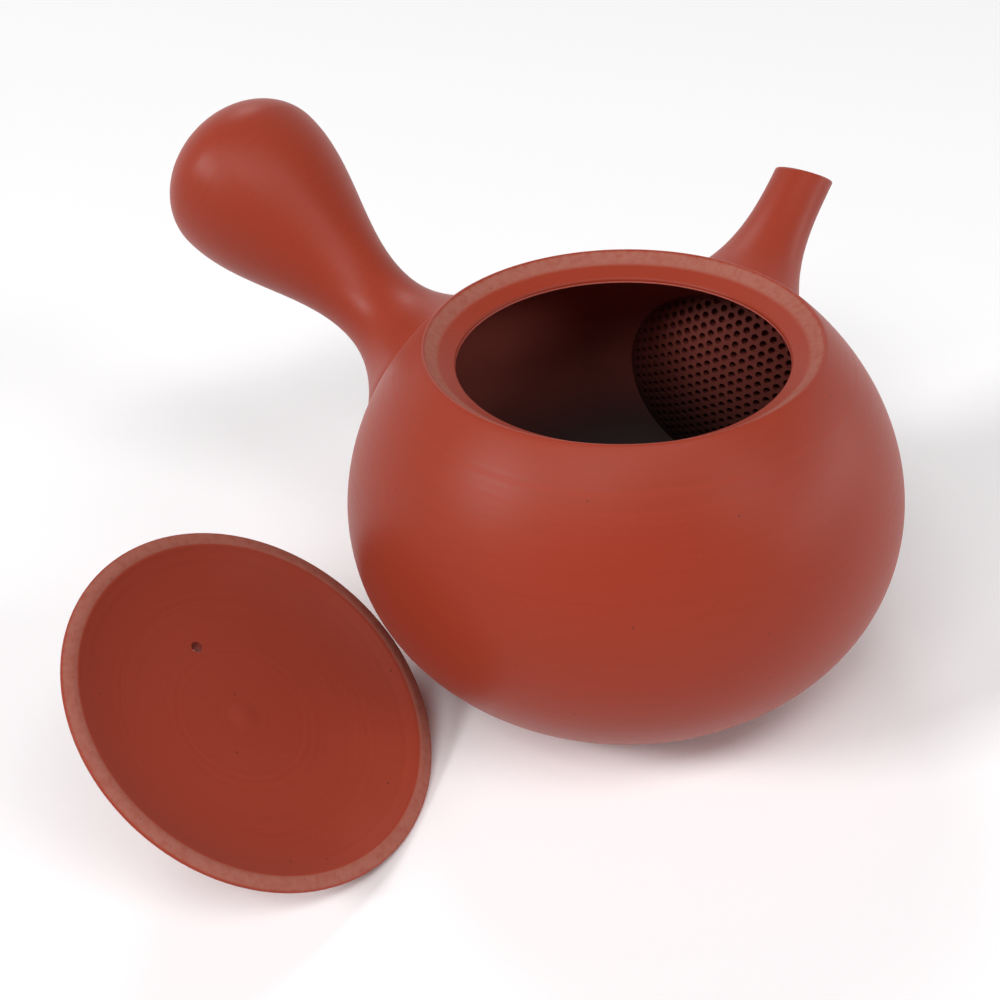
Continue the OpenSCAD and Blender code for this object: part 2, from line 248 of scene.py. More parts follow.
class StageLooks(bpy.types.PropertyGroup):
    """Table, lamps and camera."""

    table: tone("Table", (252, 251, 252), "Pale table")
    table_r: length("Table radius", 1200, "Radius of the table")
    table_turns: turns("Table turns", 128, "Sides of the round table")
    table_near: length("Table middle", 350, "Radius inside which the table has its own colour only")
    sky: plain("Room light", 0.05, "Strength of the light from all round")
    lamp_away: length("Lamp distance", 3500, "Distance of the softboxes from the pot")
    camera_bearing: angle("Camera bearing", 210, "Direction of the camera, from the spout")
    camera_away: length("Camera distance", 237.47, "Level distance of the camera from the pot's axis")
    camera_z: length("Camera height", 201.37, "Height of the camera above the table")
    heading: angle("Heading", 35.66, "Level direction that the camera looks in")
    tilt: angle("Tilt", 34.7, "How far the camera looks down")
    roll: angle("Roll", -3.25, "Turn of the camera about its own view")
    lens: FloatProperty(name="Lens", description="Focal length", default=54, unit="CAMERA")
    sensor: FloatProperty(name="Sensor", description="Width of the sensor", default=36, unit="CAMERA")


SOFTBOXES = {
    "left": softbox_settings("left", watts=65, bearing=147, rise=33, wide=1000, tall=800),
    "right": softbox_settings("right", watts=20, bearing=-92, rise=33, wide=1200, tall=800),
    "top": softbox_settings("top", watts=42, bearing=235, rise=62, wide=2600, tall=900),
    "front": softbox_settings("front", watts=34, bearing=185, rise=51, wide=1500, tall=1000),
    "low": softbox_settings("low", watts=34, bearing=-60, rise=9, wide=3300, tall=450),
    "back": softbox_settings("back", watts=20, bearing=47, rise=46, wide=1000, tall=1000),
}
for softbox in SOFTBOXES.values():
    StageLooks.__annotations__.update(softbox)


class TeapotSettings(bpy.types.PropertyGroup):
    """Everything that can be changed on the teapot and its stage."""

    body: PointerProperty(type=BodySizes)
    spout: PointerProperty(type=SpoutSizes)
    handle: PointerProperty(type=HandleSizes)
    lid: PointerProperty(type=LidSizes)
    clay: PointerProperty(type=ClayLooks)
    stage: PointerProperty(type=StageLooks)


# Shapes as formulas


def spread(start, end, steps):
    """Evenly spaced numbers from start to end, both included."""
    return [start + (end - start) * i / steps for i in range(steps + 1)]


def swell(radius, height, power, z):
    """Radius of a swelling curve at the height z from its belly line."""
    return radius * max(0.0, 1 - (abs(z) / height) ** power) ** (1 / power)


def skin_r(body, grow, z):
    """Radius of the body's skin, moved outwards by grow, at the height z."""
    if z < body.belly_z:
        return swell(body.belly_r + grow, body.hip_h + grow, body.hip_power, body.belly_z - z)
    return swell(body.belly_r + grow, body.shoulder_h + grow, body.shoulder_power, z - body.belly_z)


def skin_line(body, grow, bottom, top):
    """Points of the skin's outline from the height bottom to the height top."""
    heights = spread(bottom, body.belly_z, CURVE_STEPS) + spread(body.belly_z, top, CURVE_STEPS)[1:]
    return [(skin_r(body, grow, z), z) for z in heights]


def rim_of(body):
    """Radii and heights of the rim, from the ridge inwards."""
    share = 1 - (body.rim_r / body.belly_r) ** body.shoulder_power
    rim_z = body.belly_z + body.shoulder_h * share ** (1 / body.shoulder_power)
    seat_r = body.rim_r - body.strip_w
    seat_in_r = seat_r - body.seat_w
    seat_in_z = rim_z - body.seat_w * math.tan(body.seat_angle)
    ledge_in_r = body.mouth_r + body.mouth_round * math.sin(body.ledge_angle)
    ledge_in_z = seat_in_z - (seat_in_r - ledge_in_r) * math.tan(body.ledge_angle)
    return SimpleNamespace(
        z=rim_z,
        seat_r=seat_r,
        seat_in_r=seat_in_r,
        seat_in_z=seat_in_z,
        round_z=ledge_in_z - body.mouth_round * math.cos(body.ledge_angle),
        lip_z=ledge_in_z - body.lip_t,
    )


def mouth_line(body, rim):
    """Points round the mouth's edge, from the ledge down to the mouth's wall."""
    middle = body.mouth_r + body.mouth_round
    bends = spread(math.pi / 2 + body.ledge_angle, math.pi, EDGE_STEPS)
    bend = body.mouth_round
    return [(middle + bend * math.cos(a), rim.round_z + bend * math.sin(a)) for a in bends]


def reach_of_skin(body, z_at):
    """Level distance from the pot's axis at which a rising line passes through the skin."""
    x = body.belly_r
    for _ in range(SEARCH_ROUNDS):
        x = skin_r(body, 0, z_at(x))
    return x


def eased(share):
    """A share from 0 to 1 that starts and ends level."""
    return share * share * (3 - 2 * share)


def rolled(width, slope, distance):
    """Spread of a flare past its root, where it has that slope: it runs straight after about width."""
    return width * (1 - math.exp(-slope * distance / width))


def spout_line(body, spout):
    """Length of the spout from its tip to the skin, and its radius at a distance back from the tip."""
    wall_x = reach_of_skin(body, lambda x: spout.tip_z - (spout.reach - x) * math.tan(spout.rise))
    along = (spout.reach - wall_x) / math.cos(spout.rise)
    opening = spout.root_r - spout.tip_r

    def radius(back):
        if back < along:
            return spout.tip_r + opening * (max(0, back) / along) ** spout.flare
        return spout.root_r + rolled(spout.roll, spout.flare * opening / along, back - along)

    return along, radius


def handle_line(body, handle):
    """Distance along the handle's axis to the skin, and its radius at a distance along the axis."""
    wall_x = reach_of_skin(body, lambda x: handle.axis_z + x * math.tan(handle.rise))
    root_at = wall_x / math.cos(handle.rise)
    opening = handle.root_r - handle.neck_r
    bulb_at = handle.reach - handle.bulb_cap

    def radius(along):
        if along < root_at:
            slope = handle.flare * opening / (handle.neck_at - root_at)
            return handle.root_r + rolled(handle.roll, slope, root_at - along)
        if along < handle.neck_at:
            share = (handle.neck_at - along) / (handle.neck_at - root_at)
            return handle.neck_r + opening * share**handle.flare
        share = (along - handle.neck_at) / (bulb_at - handle.neck_at)
        return handle.neck_r + (handle.bulb_r - handle.neck_r) * eased(share)

    return root_at, bulb_at, radius


def lid_edge(body, lid):
    """Radius of the lid's edge."""
    return rim_of(body).seat_r + lid.over


def band_start(body, lid):
    """Radius and height of the inner edge of the lid's ground band."""
    return lid_edge(body, lid) - lid.band_w, -lid.band_w * math.tan(lid.band_angle)


def lid_top(body, lid, r):
    """Height of the lid's top above its edge, at the radius r."""
    rise = lid.dish + lid.thick - lid.side
    return lid.side + rise * (1 - (r / lid_edge(body, lid)) ** lid.top_power)


def lid_under(body, lid, r):
    """Height of the lid's dish above its edge, at the radius r."""
    band_r, band_z = band_start(body, lid)
    button = lid.button_h * max(0, 1 - (r / lid.button_r) ** 2) ** 2
    return band_z + (lid.dish - band_z) * (1 - (r / band_r) ** lid.dish_power) - button


def along_spout(spout):
    """Place of the spout: its tip at the origin and its axis along Z, carried to the pot."""
    lean = Matrix.Rotation(math.pi / 2 - spout.rise, 4, "Y")
    return Matrix.Translation((spout.reach, 0, spout.tip_z)) @ lean


def along_handle(handle):
    """Place of the handle: its axis along Z from the pot's axis, carried to the pot."""
    lean = Matrix.Rotation(handle.turn, 4, "Z") @ Matrix.Rotation(math.pi / 2 - handle.rise, 4, "Y")
    return Matrix.Translation((0, 0, handle.axis_z)) @ lean


def set_down(body, lid):
    """Place of the lid, set down on its knob and edge: its seat, turned back by the joint's whole range."""
    joint = frame["joints"][0]
    pivot = Vector(joint["pos_m"])
    back = Matrix.Rotation(-math.radians(joint["range_deg"][1]), 4, Vector(joint["axis"]))
    seat_z = rim_of(body).z + lid.gap / math.cos(lid.band_angle) + lid.over * math.tan(lid.band_angle)
    return Matrix.Translation(pivot) @ back @ Matrix.Translation(Vector((0, 0, seat_z)) - pivot)


# Modelling


def spun(outline, turns, closed=False):
    """A solid turned about Z from an outline of radius and height; a closed outline gives a ring."""
    bm = bmesh.new()
    verts = [bm.verts.new((r, 0, z)) for r, z in outline]
    ends = zip(verts, verts[1:] + verts[:1]) if closed else zip(verts, verts[1:])
    edges = [bm.edges.new(pair) for pair in ends]
    bmesh.ops.spin(
        bm,
        geom=verts + edges,
        cent=(0, 0, 0),
        axis=(0, 0, 1),
        dvec=(0, 0, 0),
        angle=2 * math.pi,
        steps=turns,
        use_merge=True,
    )
    bmesh.ops.remove_doubles(bm, verts=bm.verts, dist=SAME)
    bmesh.ops.recalc_face_normals(bm, faces=bm.faces)
    return bm


def soften(bm, corners, width):
    """Rounds the circles that an outline's corners make."""

    def on_ring(vert, corner):
        off = math.hypot(vert.co.x, vert.co.y) - corner[0]
        return abs(off) < SAME and abs(vert.co.z - corner[1]) < SAME

    edges = [e for e in bm.edges for c in corners if all(on_ring(v, c) for v in e.verts)]
    round_off(bm, edges, width)


def round_off(bm, edges, width):
    """Bevels edges to a small round."""
    bmesh.ops.bevel(
        bm,
        geom=edges,
        offset=width,
        offset_type="OFFSET",
        affect="EDGES",
        segments=SOFT_STEPS,
        profile=0.5,
        material=-1,
        clamp_overlap=True,
    )


def as_object(bm, name):
    """Puts a finished mesh in the scene."""
    mesh = bpy.data.meshes.new(name)
    bm.to_mesh(mesh)
    bm.free()
    made = bpy.data.objects.new(name, mesh)
    bpy.context.scene.collection.objects.link(made)
    return made


def carve(piece, cutter, operation):
    """Cuts a piece with a solid, which is then thrown away."""
    tool = as_object(cutter, "cutter")
    cut = piece.modifiers.new("cut", "BOOLEAN")
    cut.operation = operation
    cut.solver = "EXACT"
    cut.object = tool
    bpy.context.view_layer.update()
    graph = bpy.context.evaluated_depsgraph_get()
    mesh = bpy.data.meshes.new_from_object(piece.evaluated_get(graph))
    bm = bmesh.new()
    bm.from_mesh(mesh)
    bmesh.ops.remove_doubles(bm, verts=bm.verts, dist=SAME)
    bmesh.ops.dissolve_degenerate(bm, edges=bm.edges, dist=SAME)
    bm.to_mesh(mesh)
    bm.free()
    piece.modifiers.clear()
    spare = piece.data
    piece.data = mesh
    bpy.data.meshes.remove(spare)
    mesh.name = piece.name
    tool_mesh = tool.data
    bpy.data.objects.remove(tool)
    bpy.data.meshes.remove(tool_mesh)


def skin_solid(body, grow):
    """The body's outside as a full solid, moved outwards by grow."""
    bottom = body.bevel_h - grow
    top = rim_of(body).z
    return spun([(0, bottom)] + skin_line(body, grow, bottom, top) + [(0, top)], body.turns)


def rod(radius, start, end, place):
    """A round bar along Z from start to end, carried to its place."""
    bm = spun([(0, start), (radius, start), (radius, end), (0, end)], DRILL_TURNS)
    bmesh.ops.transform(bm, matrix=place, verts=bm.verts)
    return bm


def slip_ring(blank, body, thickness, name):
    """The slip between the body's skin and a piece that was joined to it, cut from the piece's blank."""
    ring = as_object(blank, name)
    carve(ring, skin_solid(body, thickness), "INTERSECT")
    carve(ring, skin_solid(body, 0), "DIFFERENCE")
    return ring


def finish_piece(piece, body, nodes, materials):
    """Shades a piece, gives it its materials, sets it on its body and hides the nodes that it stands for.
    """
    mesh = piece.data
    for face in mesh.polygons:
        face.use_smooth = True
    mesh.set_sharp_from_angle(angle=CRISP)
    zones = [face.material_index for face in mesh.polygons]
    mesh.materials.clear()
    for material in materials:
        mesh.materials.append(material)
    mesh.polygons.foreach_set("material_index", [min(z, len(materials) - 1) for z in zones])
    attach(piece, body)
    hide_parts(*nodes)


# Materials


class Signal:
    """A socket in a material; arithmetic on it adds Math nodes."""

    def __init__(self, bench, socket):
        self.bench = bench
        self.socket = socket

    def _math(self, operation, first, second):
        return self.bench.node("ShaderNodeMath", {"operation": operation}, {0: first, 1: second})

    def __add__(self, other):
        return self._math("ADD", self, other)

    __radd__ = __add__

    def __sub__(self, other):
        return self._math("SUBTRACT", self, other)

    def __rsub__(self, other):
        return self._math("SUBTRACT", other, self)

    def __mul__(self, other):
        return self._math("MULTIPLY", self, other)

    __rmul__ = __mul__

    def __lt__(self, other):
        return self._math("LESS_THAN", self, other)


class Bench:
    """The node tree of a material or of the room."""

    def __init__(self, owner):
        self.owner = owner
        owner.use_nodes = True
        self.tree = owner.node_tree
        self.tree.nodes.clear()

    def node(self, kind, settings=None, inputs=None, output=0):
        """Adds a node: its settings first, then the values or links of its sockets."""
        made = self.tree.nodes.new(kind)
        for key, value in (settings or {}).items():
            setattr(made, key, value)
        for key, value in (inputs or {}).items():
            socket = made.inputs[key]
            if isinstance(value, Signal):
                self.tree.links.new(value.socket, socket)
            else:
                socket.default_value = value
        return Signal(self, made.outputs[output]) if made.outputs else None

    def part(self, vector, axis):
        """One coordinate of a vector."""
        return self.node("ShaderNodeSeparateXYZ", {}, {0: vector}, axis)

    def noise(self, vector, scale, detail):
        """Soft noise about 0, from about -1 to 1."""
        inputs = {"Vector": vector, "Scale": scale, "Detail": detail}
        return self.node("ShaderNodeTexNoise", {}, inputs) * 2 - 1

    def ramp(self, value, low, high):
        """0 below low, 1 above high, smooth between them."""
        inputs = {"Value": value, "From Min": low, "From Max": high}
        return self.node("ShaderNodeMapRange", {"interpolation_type": "SMOOTHSTEP"}, inputs)

    def tint(self, colour, strength):
        """A colour made lighter or darker by a strength about 1."""
        return self.node("ShaderNodeVectorMath", {"operation": "SCALE"}, {0: colour, "Scale": strength})

    def blend(self, first, second, share):
        """A colour between two colours."""
        return self.node("ShaderNodeMix", {"data_type": "RGBA"}, {0: share, 6: first, 7: second}, 2)

    def bump(self, height):
        """A relief of the given height, for a shader's Normal."""
        return self.node("ShaderNodeBump", {}, {"Height": height, "Distance": 1.0, "Strength": 1.0})

    def surface(self, inputs):
        """The clay's shader, joined to the material's output."""
        shader = self.node("ShaderNodeBsdfPrincipled", {}, inputs)
        self.node("ShaderNodeOutputMaterial", {}, {"Surface": shader})
        return self.owner


def own_place(bench, place):
    """Coordinates in the piece's own frame, with its turning axis along Z."""
    seen = bench.node("ShaderNodeTexCoord", output="Object")
    inputs = {"Vector": seen, "Location": place.to_translation(), "Rotation": place.to_euler()}
    return bench.node("ShaderNodeMapping", {"vector_type": "TEXTURE"}, inputs)


def specks(bench, spot, cells, size, share):
    """Mask of small specks scattered in the clay."""
    inputs = {"Vector": spot, "Scale": cells}
    away = bench.node("ShaderNodeTexVoronoi", {}, inputs, "Distance")
    cell = bench.node("ShaderNodeTexVoronoi", {}, inputs, "Position")
    chance = bench.node("ShaderNodeTexWhiteNoise", {}, {"Vector": cell})
    return (1 - bench.ramp(away, size * 0.6, size)) * (chance < share)


def from_axis(bench, spot):
    """Distance from the turning axis."""
    level = bench.node("ShaderNodeVectorMath", {"operation": "MULTIPLY"}, {0: spot, 1: (1, 1, 0)})
    return bench.node("ShaderNodeVectorMath", {"operation": "LENGTH"}, {0: level}, "Value")


def turning_lines(bench, spot, rings):
    """Fine lines left by the wheel, about 0: circles of one height, or rings on a flat face."""
    along = from_axis(bench, spot) if rings else bench.part(spot, "Z")
    wander = bench.noise(spot, scale=16, detail=1) * (0.6 * MM)
    inputs = {"W": along + wander, "Scale": 1100, "Detail": 4}
    return bench.node("ShaderNodeTexNoise", {"noise_dimensions": "1D"}, inputs) * 2 - 1


def smooth_clay(name, looks, red, place, rings=False):
    """Red clay with a smooth skin: clouds, grain, wheel lines and iron specks."""
    bench = Bench(bpy.data.materials.new(name))
    spot = own_place(bench, place)
    cloud = bench.noise(spot, scale=22, detail=3)
    grain = bench.noise(spot, scale=1900, detail=2)
    lines = turning_lines(bench, spot, rings)
    dark = specks(bench, spot, cells=230, size=0.055, share=0.5)
    shade = 1 + cloud * looks.clouds + grain * looks.grain + lines * looks.lines
    colour = bench.blend(bench.tint(tuple(red), shade), (*looks.speck, 1), dark * looks.specks)
    rough = looks.polish + cloud * 0.04 + grain * 0.05 + lines * 0.06
    bump = bench.bump(lines * (6 * MICRON) + grain * (3 * MICRON))
    fixed = {"Specular IOR Level": looks.shine, "Sheen Weight": looks.dust, "Sheen Roughness": 0.5}
    return bench.surface({"Base Color": colour, "Roughness": rough, "Normal": bump, **fixed})


def ground_clay(name, looks, beside, place, inner_r, outer_r):
    """Dry mottled clay where lid and seat were ground together, fading into the clay beside it."""
    bench = Bench(bpy.data.materials.new(name))
    spot = own_place(bench, place)
    patch = bench.noise(spot, scale=700, detail=3)
    grain = bench.noise(spot, scale=2400, detail=2)
    dark = specks(bench, spot, cells=520, size=0.11, share=0.55)
    red = bench.ramp(patch, -0.3, 0.6)
    worn = bench.blend((*looks.ground, 1), (*looks.red, 1), red * looks.mottle)
    r = from_axis(bench, spot) + patch * (looks.fade * 0.2)
    begun = bench.ramp(r, inner_r, inner_r + looks.fade)
    ended = bench.ramp(r, outer_r - looks.fade / 2, outer_r)
    rubbed = begun * (1 - ended)
    base = bench.blend((*beside, 1), worn, rubbed)
    colour = bench.blend(bench.tint(base, 1 + grain * 0.1), (*looks.speck, 1), dark * 0.35)
    rough = looks.polish + rubbed * (looks.dry - looks.polish)
    bump = bench.bump(grain * (6 * MICRON))
    fixed = {"Specular IOR Level": looks.shine}
    return bench.surface({"Base Color": colour, "Roughness": rough, "Normal": bump, **fixed})


def inside_clay(name, looks, high_clay, place):
    """Clay inside the pot with plain wheel lines, darkened low down by painted shade."""
    bench = Bench(bpy.data.materials.new(name))
    spot = own_place(bench, place)
    cloud = bench.noise(spot, scale=30, detail=2)
    grain = bench.noise(spot, scale=1500, detail=2)
    lines = turning_lines(bench, spot, False)
    # Painted shade: low inside the pot the clay turns to the deep colour, where the hollow lies in shade
    high = bench.ramp(bench.part(spot, "Z") + cloud * (4 * MM), looks.painted_shade_low, looks.painted_shade_high)
    clay = bench.blend((*looks.deep, 1), (*high_clay, 1), high)
    colour = bench.tint(clay, 1 + cloud * 0.1 + grain * 0.08 + lines * 0.06)
    rough = looks.raw + grain * 0.05
    bump = bench.bump(lines * (10 * MICRON) + grain * (5 * MICRON))
    fixed = {"Specular IOR Level": looks.shine}
    return bench.surface({"Base Color": colour, "Roughness": rough, "Normal": bump, **fixed})


# Operators


class TEAPOT_OT_body(bpy.types.Operator):
    """Throw the body with its foot, ground lid seat, ledge and mouth, and cut the port"""

    bl_idname = "teapot.throw_body"
    bl_label = "Throw the body"

    def execute(self, context):
        settings = context.scene.teapot
        body, spout, looks = settings.body, settings.spout, settings.clay
        rim = rim_of(body)
        inside = skin_line(body, -body.wall, body.floor_t, rim.lip_z)
        outline = [(0, 0), (body.foot_r, 0)]
        outline += skin_line(body, 0, body.bevel_h, rim.z)
        outline += [(rim.seat_r, rim.z), (rim.seat_in_r, rim.seat_in_z)]
        outline += mouth_line(body, rim)
        outline += [(body.mouth_r, rim.round_z - body.lip_edge)] + inside[::-1] + [(0, body.floor_t)]
        bm = spun(outline, body.turns)
        heel = (skin_r(body, 0, body.bevel_h), body.bevel_h)
        soften(bm, [(body.foot_r, 0), heel], body.foot_soft)
        soften(bm, [(body.rim_r, rim.z)], body.ridge_soft)
        soften(bm, [(rim.seat_r, rim.z), (rim.seat_in_r, rim.seat_in_z)], body.seat_soft)
        self.mark_zones(bm, body, rim)
        piece = as_object(bm, "teapot_body")
        along, _ = spout_line(body, spout)
        port = rod(spout.port_r, -along - spout.back, -along + 2 * body.wall, along_spout(spout))
        carve(piece, port, "DIFFERENCE")
        here = Matrix()
        worn_r = rim.seat_in_r - body.seat_wear
        clays = [
            smooth_clay("burnished_clay_body", looks, looks.red, here),
            ground_clay("ground_clay_seat", looks, looks.red, here, worn_r, rim.seat_r),
            inside_clay("inside_clay", looks, looks.inside, here),
        ]
        finish_piece(piece, "pot", ["body"], clays)
        return {"FINISHED"}

    def mark_zones(self, bm, body, rim):
        """Zone 0 is the burnished skin, 1 the ground seat with the ledge and 2 the inside."""
        ledge_r = body.mouth_r + body.mouth_round
        # The last step of the seat's softened outer edge belongs to the skin
        edge_r = rim.seat_r - body.seat_soft / SOFT_STEPS
        for face in bm.faces:
            middle = face.calc_center_median()
            r = math.hypot(middle.x, middle.y)
            on_seat = ledge_r < r < edge_r and middle.z > rim.round_z
            within = body.floor_t - SAME < middle.z < rim.round_z
            in_wall = within and r < skin_r(body, -body.wall / 2, middle.z)
            face.material_index = 1 if on_seat else 2 if in_wall else 0


class TEAPOT_OT_spout(bpy.types.Operator):
    """Pull the flared spout, cut its tip on the slant and join it to the body with slip"""

    bl_idname = "teapot.pull_spout"
    bl_label = "Pull the spout"

    def blank(self, body, spout):
        """The spout before the body's skin trims it."""
        along, radius = spout_line(body, spout)
        clear_of_cut = CUT_ROOM * spout.tip_r * math.tan(spout.slant)
        stops = spread(along + spout.back, clear_of_cut, 2 * CURVE_STEPS)
        outer = [(radius(d), -d) for d in stops] + [(spout.tip_r, spout.past)]
        inner = [(r - spout.wall, z) for r, z in outer]
        bm = spun(outer + inner[::-1], spout.turns, closed=True)
        normal = Matrix.Rotation(-spout.slant, 3, "Y") @ Vector((0, 0, 1))
        parts = bm.verts[:] + bm.edges[:] + bm.faces[:]
        bmesh.ops.bisect_plane(bm, geom=parts, plane_co=(0, 0, 0), plane_no=normal, clear_outer=True)
        rims = [e for e in bm.edges if e.is_boundary]
        bmesh.ops.bridge_loops(bm, edges=rims)
        bmesh.ops.recalc_face_normals(bm, faces=bm.faces)
        round_off(bm, [e for e in rims if e.is_valid], spout.tip_soft)
        bmesh.ops.transform(bm, matrix=along_spout(spout), verts=bm.verts)
        return bm

    def execute(self, context):
        settings = context.scene.teapot
        body, spout, looks = settings.body, settings.spout, settings.clay
        slip_t = settings.lid.slip_t
        clay = smooth_clay("burnished_clay_spout", looks, looks.red, along_spout(spout))
        piece = as_object(self.blank(body, spout), "teapot_spout")
        carve(piece, skin_solid(body, slip_t), "DIFFERENCE")
        finish_piece(piece, "pot", ["spout"], [clay])
        slip = slip_ring(self.blank(body, spout), body, slip_t, "spout_slip_ring")
        finish_piece(slip, "pot", ["spout_slip"], [clay])
        return {"FINISHED"}


class TEAPOT_OT_handle(bpy.types.Operator):
    """Throw the hollow handle, pierce its air hole and join it to the body with slip"""

    bl_idname = "teapot.throw_handle"
    bl_label = "Throw the handle"

    def blank(self, body, handle):
        """The handle before the body's skin trims it."""
        root_at, bulb_at, radius = handle_line(body, handle)
        stops = spread(root_at - handle.back, handle.neck_at, CURVE_STEPS)
        stops += spread(handle.neck_at, bulb_at, CURVE_STEPS)[1:]

        def shell(thin):
            bends = spread(0, math.pi / 2, CURVE_STEPS)[1:]
            wide, deep = handle.bulb_r - thin, handle.bulb_cap - thin
            cap = [(wide * math.cos(a), bulb_at + deep * math.sin(a)) for a in bends[:-1]]
            return [(radius(s) - thin, s) for s in stops] + cap + [(0, bulb_at + deep)]

        bm = spun(shell(0)[::-1] + shell(handle.wall), handle.turns)
        bmesh.ops.transform(bm, matrix=along_handle(handle), verts=bm.verts)
        return bm

    def execute(self, context):
        settings = context.scene.teapot
        body, handle, looks = settings.body, settings.handle, settings.clay
        slip_t = settings.lid.slip_t
        place = along_handle(handle)
        clay = smooth_clay("burnished_clay_handle", looks, looks.red, place)
        piece = as_object(self.blank(body, handle), "teapot_handle")
        carve(piece, skin_solid(body, slip_t), "DIFFERENCE")
        across = place @ Matrix.Translation((0, 0, handle.neck_at)) @ Matrix.Rotation(math.pi / 2, 4, "Y")
        carve(piece, rod(handle.air_hole_d / 2, 0, handle.neck_r + DRILL_PAST, across), "DIFFERENCE")
        finish_piece(piece, "pot", ["handle"], [clay])
        slip = slip_ring(self.blank(body, handle), body, slip_t, "handle_slip_ring")
        finish_piece(slip, "pot", ["handle_slip"], [clay])
        return {"FINISHED"}


class TEAPOT_OT_strainer(bpy.types.Operator):
    """Dress the pierced strainer and its slip, which keep their solids"""

    bl_idname = "teapot.dress_strainer"
    bl_label = "Dress the strainer"

    def execute(self, context):
        looks = context.scene.teapot.clay
        # The strainer's clay takes the same painted shade low down
        clay = inside_clay("strainer_clay", looks, looks.screen, Matrix())
        for node in ("strainer", "strainer_slip"):
            mesh = frame["nodes"][node].data
            mesh.materials.clear()
            mesh.materials.append(clay)
        return {"FINISHED"}


class TEAPOT_OT_lid(bpy.types.Operator):
    """Throw the dished lid with its ground band and steam hole, and set it down"""

    bl_idname = "teapot.throw_lid"
    bl_label = "Throw the lid"

    def execute(self, context):
        settings = context.scene.teapot
        body, lid, looks = settings.body, settings.lid, settings.clay
        lid_r = lid_edge(body, lid)
        band_r, band_z = band_start(body, lid)
        radii = spread(0, lid.button_r, EDGE_STEPS) + spread(lid.button_r, band_r, CURVE_STEPS)[1:]
        under = [(r, lid_under(body, lid, r)) for r in radii]
        top = [(r, lid_top(body, lid, r)) for r in spread(lid_r, 0, CURVE_STEPS)]
        bm = spun(under + [(lid_r, 0)] + top, lid.turns)
        soften(bm, [(lid_r, 0), (lid_r, lid.side)], lid.side_soft)
        soften(bm, [(band_r, band_z)], lid.band_soft)
        # The ground band takes in the softened edge between it and the dish
        band_from = band_r - lid.band_soft / SOFT_STEPS
        self.mark_zones(bm, body, lid, band_from)
        place = set_down(body, lid)
        bmesh.ops.transform(bm, matrix=place, verts=bm.verts)
        piece = as_object(bm, "teapot_lid")
        at = place @ Matrix.Rotation(lid.vent_bearing, 4, "Z") @ Matrix.Translation((lid.vent_at, 0, 0))
        carve(piece, rod(lid.vent_d / 2, 0, lid.dish + lid.thick + DRILL_PAST, at), "DIFFERENCE")
        clays = [
            smooth_clay("burnished_clay_lid", looks, looks.red, place, rings=True),
            ground_clay("ground_clay_band", looks, looks.dish, place, band_from - looks.fade / 2, lid_r),
            # The dish's paler clay is partly painted sheen
            smooth_clay("smoothed_clay_dish", looks, looks.dish, place, rings=True),
        ]
        finish_piece(piece, "lid", ["lid"], clays)
        return {"FINISHED"}

    def mark_zones(self, bm, body, lid, band_from):
        """Zone 0 is the burnished top, 1 the ground band and 2 the dish."""
        for face in bm.faces:
            middle = face.calc_center_median()
            r = math.hypot(middle.x, middle.y)
            halfway = (lid_under(body, lid, r) + lid_top(body, lid, r)) / 2
            below = middle.z < halfway if r < band_from else middle.z < 0
            face.material_index = 0 if not below else 1 if r > band_from else 2


class TEAPOT_OT_knob(bpy.types.Operator):
    """Turn the ball knob and join it to the lid with slip"""

    bl_idname = "teapot.turn_knob"
    bl_label = "Turn the knob"

    def execute(self, context):
        settings = context.scene.teapot
        body, lid, looks = settings.body, settings.lid, settings.clay
        crown = lid.dish + lid.thick
        middle = crown + lid.knob_up
        waist = -math.acos(lid.neck_r / lid.knob_r)
        bends = spread(math.pi / 2, waist, CURVE_STEPS)
        ball = [(lid.knob_r * math.cos(a), middle + lid.knob_r * math.sin(a)) for a in bends]
        ball[0] = (0, middle + lid.knob_r)
        cove = lid.foot_r - lid.neck_r
        bends = spread(math.pi, 1.5 * math.pi, 2 * EDGE_STEPS)
        foot = [(lid.foot_r + cove * math.cos(a), crown + cove + cove * math.sin(a)) for a in bends]
        on_slip = [(r, z) for r, z in foot if z > lid_top(body, lid, r) + lid.slip_t]
        in_slip = foot[len(on_slip) - 1 :]
        seam_r = on_slip[-1][0]
        bed = [(r, lid_top(body, lid, r) + lid.slip_t) for r in spread(seam_r, 0, EDGE_STEPS)[1:]]
        place = set_down(body, lid)
        clay = smooth_clay("burnished_clay_knob", looks, looks.red, place)
        bm = spun(ball + on_slip + bed, lid.knob_turns)
        bmesh.ops.transform(bm, matrix=place, verts=bm.verts)
        finish_piece(as_object(bm, "lid_knob"), "lid", ["knob"], [clay])
        under = [(r, lid_top(body, lid, r)) for r in spread(lid.foot_r, 0, EDGE_STEPS)]
        bm = spun(bed[::-1] + in_slip + under, lid.knob_turns)
        bmesh.ops.transform(bm, matrix=place, verts=bm.verts)
        finish_piece(as_object(bm, "knob_slip_ring"), "lid", ["knob_slip"], [clay])
        return {"FINISHED"}


